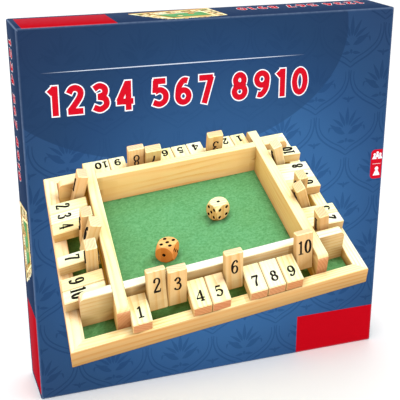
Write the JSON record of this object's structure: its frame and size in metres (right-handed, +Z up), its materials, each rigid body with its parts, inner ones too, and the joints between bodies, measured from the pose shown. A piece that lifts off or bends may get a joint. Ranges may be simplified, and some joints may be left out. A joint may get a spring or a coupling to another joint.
{
  "type": "boxed shut the box game",
  "caption": "Square card box with a lift-off lid that holds a square felt-lined wooden tray with rows of tipping number tiles on all four sides, and wooden dice.",
  "frame": {"origin": "under the middle of the closed box as it stands on its lower edge", "axes": "+Z up, +X to the right of a person who faces the printed cover, +Y from the cover to the back"},
  "size_m": [0.3, 0.046, 0.3],
  "materials": {
    "printed_card": "printed paper wrap, satin varnish",
    "base_card": "plain paper wrap, matte",
    "inlay_card": "uncoated, matte",
    "leaflet_paper": "uncoated, matte",
    "plywood": "raw plywood, matte",
    "felt": "felt",
    "pine": "thin clear varnish, satin",
    "tile_wood": "thin clear varnish, satin",
    "rod_steel": "drawn bright steel",
    "screw_steel": "yellow zinc plated",
    "die_wood": "oiled wood with black pips"
  },
  "bodies": {
    "game": {"plywood_base": "plywood", "felt_sheet": "felt", "bottom_bar": "pine", "right_bar": "pine", "top_bar": "pine", "left_bar": "pine", "bottom_wall": "pine", "right_wall": "pine", "top_wall": "pine", "left_wall": "pine", "tile_rods": "rod_steel", "wall_screws": "screw_steel"},
    "lid": {"box_lid": "printed_card"},
    "tray": {"box_base": "base_card", "card_inlay": "inlay_card", "rules_leaflet": "leaflet_paper"},
    "die_1": {"die_1": "die_wood"},
    "die_2": {"die_2": "die_wood"},
    "bottom_tile_01": {"bottom_tile_01": "tile_wood"},
    "bottom_tile_02": {"bottom_tile_02": "tile_wood"},
    "bottom_tile_03": {"bottom_tile_03": "tile_wood"},
    "bottom_tile_04": {"bottom_tile_04": "tile_wood"},
    "bottom_tile_05": {"bottom_tile_05": "tile_wood"},
    "bottom_tile_06": {"bottom_tile_06": "tile_wood"},
    "bottom_tile_07": {"bottom_tile_07": "tile_wood"},
    "bottom_tile_08": {"bottom_tile_08": "tile_wood"},
    "bottom_tile_09": {"bottom_tile_09": "tile_wood"},
    "bottom_tile_10": {"bottom_tile_10": "tile_wood"},
    "right_tile_01": {"right_tile_01": "tile_wood"},
    "right_tile_02": {"right_tile_02": "tile_wood"},
    "right_tile_03": {"right_tile_03": "tile_wood"},
    "right_tile_04": {"right_tile_04": "tile_wood"},
    "right_tile_05": {"right_tile_05": "tile_wood"},
    "right_tile_06": {"right_tile_06": "tile_wood"},
    "right_tile_07": {"right_tile_07": "tile_wood"},
    "right_tile_08": {"right_tile_08": "tile_wood"},
    "right_tile_09": {"right_tile_09": "tile_wood"},
    "right_tile_10": {"right_tile_10": "tile_wood"},
    "top_tile_01": {"top_tile_01": "tile_wood"},
    "top_tile_02": {"top_tile_02": "tile_wood"},
    "top_tile_03": {"top_tile_03": "tile_wood"},
    "top_tile_04": {"top_tile_04": "tile_wood"},
    "top_tile_05": {"top_tile_05": "tile_wood"},
    "top_tile_06": {"top_tile_06": "tile_wood"},
    "top_tile_07": {"top_tile_07": "tile_wood"},
    "top_tile_08": {"top_tile_08": "tile_wood"},
    "top_tile_09": {"top_tile_09": "tile_wood"},
    "top_tile_10": {"top_tile_10": "tile_wood"},
    "left_tile_01": {"left_tile_01": "tile_wood"},
    "left_tile_02": {"left_tile_02": "tile_wood"},
    "left_tile_03": {"left_tile_03": "tile_wood"},
    "left_tile_04": {"left_tile_04": "tile_wood"},
    "left_tile_05": {"left_tile_05": "tile_wood"},
    "left_tile_06": {"left_tile_06": "tile_wood"},
    "left_tile_07": {"left_tile_07": "tile_wood"},
    "left_tile_08": {"left_tile_08": "tile_wood"},
    "left_tile_09": {"left_tile_09": "tile_wood"},
    "left_tile_10": {"left_tile_10": "tile_wood"}
  },
  "joints": [
    {"name": "lid_lift", "type": "slide", "parent": "game", "child": "lid", "axis": [0, -1, 0], "range_m": [0, 0.15]},
    {"name": "base_draw", "type": "slide", "parent": "game", "child": "tray", "axis": [0, 1, 0], "range_m": [0, 0.12]},
    {"name": "die_1_slide", "type": "slide", "parent": "game", "child": "die_1", "axis": [0, 0, 1], "range_m": [0, 0.131]},
    {"name": "die_2_slide", "type": "slide", "parent": "game", "child": "die_2", "axis": [0, 0, 1], "range_m": [0, 0.131]},
    {"name": "bottom_tile_01_hinge", "type": "hinge", "parent": "game", "child": "bottom_tile_01", "pos_m": [-0.06603, 0.0008, 0.05875], "axis": [-1, 0, 0], "range_deg": [0, 116.3]},
    {"name": "bottom_tile_02_hinge", "type": "hinge", "parent": "game", "child": "bottom_tile_02", "pos_m": [-0.05136, 0.0008, 0.05875], "axis": [-1, 0, 0], "range_deg": [0, 116.3]},
    {"name": "bottom_tile_03_hinge", "type": "hinge", "parent": "game", "child": "bottom_tile_03", "pos_m": [-0.03669, 0.0008, 0.05875], "axis": [-1, 0, 0], "range_deg": [0, 116.3]},
    {"name": "bottom_tile_04_hinge", "type": "hinge", "parent": "game", "child": "bottom_tile_04", "pos_m": [-0.02201, 0.0008, 0.05875], "axis": [-1, 0, 0], "range_deg": [0, 116.3]},
    {"name": "bottom_tile_05_hinge", "type": "hinge", "parent": "game", "child": "bottom_tile_05", "pos_m": [-0.00734, 0.0008, 0.05875], "axis": [-1, 0, 0], "range_deg": [0, 116.3]},
    {"name": "bottom_tile_06_hinge", "type": "hinge", "parent": "game", "child": "bottom_tile_06", "pos_m": [0.00734, 0.0008, 0.05875], "axis": [-1, 0, 0], "range_deg": [0, 116.3]},
    {"name": "bottom_tile_07_hinge", "type": "hinge", "parent": "game", "child": "bottom_tile_07", "pos_m": [0.02201, 0.0008, 0.05875], "axis": [-1, 0, 0], "range_deg": [0, 116.3]},
    {"name": "bottom_tile_08_hinge", "type": "hinge", "parent": "game", "child": "bottom_tile_08", "pos_m": [0.03669, 0.0008, 0.05875], "axis": [-1, 0, 0], "range_deg": [0, 116.3]},
    {"name": "bottom_tile_09_hinge", "type": "hinge", "parent": "game", "child": "bottom_tile_09", "pos_m": [0.05136, 0.0008, 0.05875], "axis": [-1, 0, 0], "range_deg": [0, 116.3]},
    {"name": "bottom_tile_10_hinge", "type": "hinge", "parent": "game", "child": "bottom_tile_10", "pos_m": [0.06603, 0.0008, 0.05875], "axis": [-1, 0, 0], "range_deg": [0, 116.3]},
    {"name": "right_tile_01_hinge", "type": "hinge", "parent": "game", "child": "right_tile_01", "pos_m": [0.09125, 0.0008, 0.08397], "axis": [0, 0, -1], "range_deg": [0, 116.3]},
    {"name": "right_tile_02_hinge", "type": "hinge", "parent": "game", "child": "right_tile_02", "pos_m": [0.09125, 0.0008, 0.09864], "axis": [0, 0, -1], "range_deg": [0, 116.3]},
    {"name": "right_tile_03_hinge", "type": "hinge", "parent": "game", "child": "right_tile_03", "pos_m": [0.09125, 0.0008, 0.11331], "axis": [0, 0, -1], "range_deg": [0, 116.3]},
    {"name": "right_tile_04_hinge", "type": "hinge", "parent": "game", "child": "right_tile_04", "pos_m": [0.09125, 0.0008, 0.12799], "axis": [0, 0, -1], "range_deg": [0, 116.3]},
    {"name": "right_tile_05_hinge", "type": "hinge", "parent": "game", "child": "right_tile_05", "pos_m": [0.09125, 0.0008, 0.14266], "axis": [0, 0, -1], "range_deg": [0, 116.3]},
    {"name": "right_tile_06_hinge", "type": "hinge", "parent": "game", "child": "right_tile_06", "pos_m": [0.09125, 0.0008, 0.15734], "axis": [0, 0, -1], "range_deg": [0, 116.3]},
    {"name": "right_tile_07_hinge", "type": "hinge", "parent": "game", "child": "right_tile_07", "pos_m": [0.09125, 0.0008, 0.17201], "axis": [0, 0, -1], "range_deg": [0, 116.3]},
    {"name": "right_tile_08_hinge", "type": "hinge", "parent": "game", "child": "right_tile_08", "pos_m": [0.09125, 0.0008, 0.18668], "axis": [0, 0, -1], "range_deg": [0, 116.3]},
    {"name": "right_tile_09_hinge", "type": "hinge", "parent": "game", "child": "right_tile_09", "pos_m": [0.09125, 0.0008, 0.20136], "axis": [0, 0, -1], "range_deg": [0, 116.3]},
    {"name": "right_tile_10_hinge", "type": "hinge", "parent": "game", "child": "right_tile_10", "pos_m": [0.09125, 0.0008, 0.21603], "axis": [0, 0, -1], "range_deg": [0, 116.3]},
    {"name": "top_tile_01_hinge", "type": "hinge", "parent": "game", "child": "top_tile_01", "pos_m": [0.06603, 0.0008, 0.24125], "axis": [1, 0, 0], "range_deg": [0, 116.3]},
    {"name": "top_tile_02_hinge", "type": "hinge", "parent": "game", "child": "top_tile_02", "pos_m": [0.05136, 0.0008, 0.24125], "axis": [1, 0, 0], "range_deg": [0, 116.3]},
    {"name": "top_tile_03_hinge", "type": "hinge", "parent": "game", "child": "top_tile_03", "pos_m": [0.03669, 0.0008, 0.24125], "axis": [1, 0, 0], "range_deg": [0, 116.3]},
    {"name": "top_tile_04_hinge", "type": "hinge", "parent": "game", "child": "top_tile_04", "pos_m": [0.02201, 0.0008, 0.24125], "axis": [1, 0, 0], "range_deg": [0, 116.3]},
    {"name": "top_tile_05_hinge", "type": "hinge", "parent": "game", "child": "top_tile_05", "pos_m": [0.00734, 0.0008, 0.24125], "axis": [1, 0, 0], "range_deg": [0, 116.3]},
    {"name": "top_tile_06_hinge", "type": "hinge", "parent": "game", "child": "top_tile_06", "pos_m": [-0.00734, 0.0008, 0.24125], "axis": [1, 0, 0], "range_deg": [0, 116.3]},
    {"name": "top_tile_07_hinge", "type": "hinge", "parent": "game", "child": "top_tile_07", "pos_m": [-0.02201, 0.0008, 0.24125], "axis": [1, 0, 0], "range_deg": [0, 116.3]},
    {"name": "top_tile_08_hinge", "type": "hinge", "parent": "game", "child": "top_tile_08", "pos_m": [-0.03669, 0.0008, 0.24125], "axis": [1, 0, 0], "range_deg": [0, 116.3]},
    {"name": "top_tile_09_hinge", "type": "hinge", "parent": "game", "child": "top_tile_09", "pos_m": [-0.05136, 0.0008, 0.24125], "axis": [1, 0, 0], "range_deg": [0, 116.3]},
    {"name": "top_tile_10_hinge", "type": "hinge", "parent": "game", "child": "top_tile_10", "pos_m": [-0.06603, 0.0008, 0.24125], "axis": [1, 0, 0], "range_deg": [0, 116.3]},
    {"name": "left_tile_01_hinge", "type": "hinge", "parent": "game", "child": "left_tile_01", "pos_m": [-0.09125, 0.0008, 0.21603], "axis": [0, 0, 1], "range_deg": [0, 116.3]},
    {"name": "left_tile_02_hinge", "type": "hinge", "parent": "game", "child": "left_tile_02", "pos_m": [-0.09125, 0.0008, 0.20136], "axis": [0, 0, 1], "range_deg": [0, 116.3]},
    {"name": "left_tile_03_hinge", "type": "hinge", "parent": "game", "child": "left_tile_03", "pos_m": [-0.09125, 0.0008, 0.18668], "axis": [0, 0, 1], "range_deg": [0, 116.3]},
    {"name": "left_tile_04_hinge", "type": "hinge", "parent": "game", "child": "left_tile_04", "pos_m": [-0.09125, 0.0008, 0.17201], "axis": [0, 0, 1], "range_deg": [0, 116.3]},
    {"name": "left_tile_05_hinge", "type": "hinge", "parent": "game", "child": "left_tile_05", "pos_m": [-0.09125, 0.0008, 0.15734], "axis": [0, 0, 1], "range_deg": [0, 116.3]},
    {"name": "left_tile_06_hinge", "type": "hinge", "parent": "game", "child": "left_tile_06", "pos_m": [-0.09125, 0.0008, 0.14266], "axis": [0, 0, 1], "range_deg": [0, 116.3]},
    {"name": "left_tile_07_hinge", "type": "hinge", "parent": "game", "child": "left_tile_07", "pos_m": [-0.09125, 0.0008, 0.12799], "axis": [0, 0, 1], "range_deg": [0, 116.3]},
    {"name": "left_tile_08_hinge", "type": "hinge", "parent": "game", "child": "left_tile_08", "pos_m": [-0.09125, 0.0008, 0.11331], "axis": [0, 0, 1], "range_deg": [0, 116.3]},
    {"name": "left_tile_09_hinge", "type": "hinge", "parent": "game", "child": "left_tile_09", "pos_m": [-0.09125, 0.0008, 0.09864], "axis": [0, 0, 1], "range_deg": [0, 116.3]},
    {"name": "left_tile_10_hinge", "type": "hinge", "parent": "game", "child": "left_tile_10", "pos_m": [-0.09125, 0.0008, 0.08397], "axis": [0, 0, 1], "range_deg": [0, 116.3]}
  ]
}
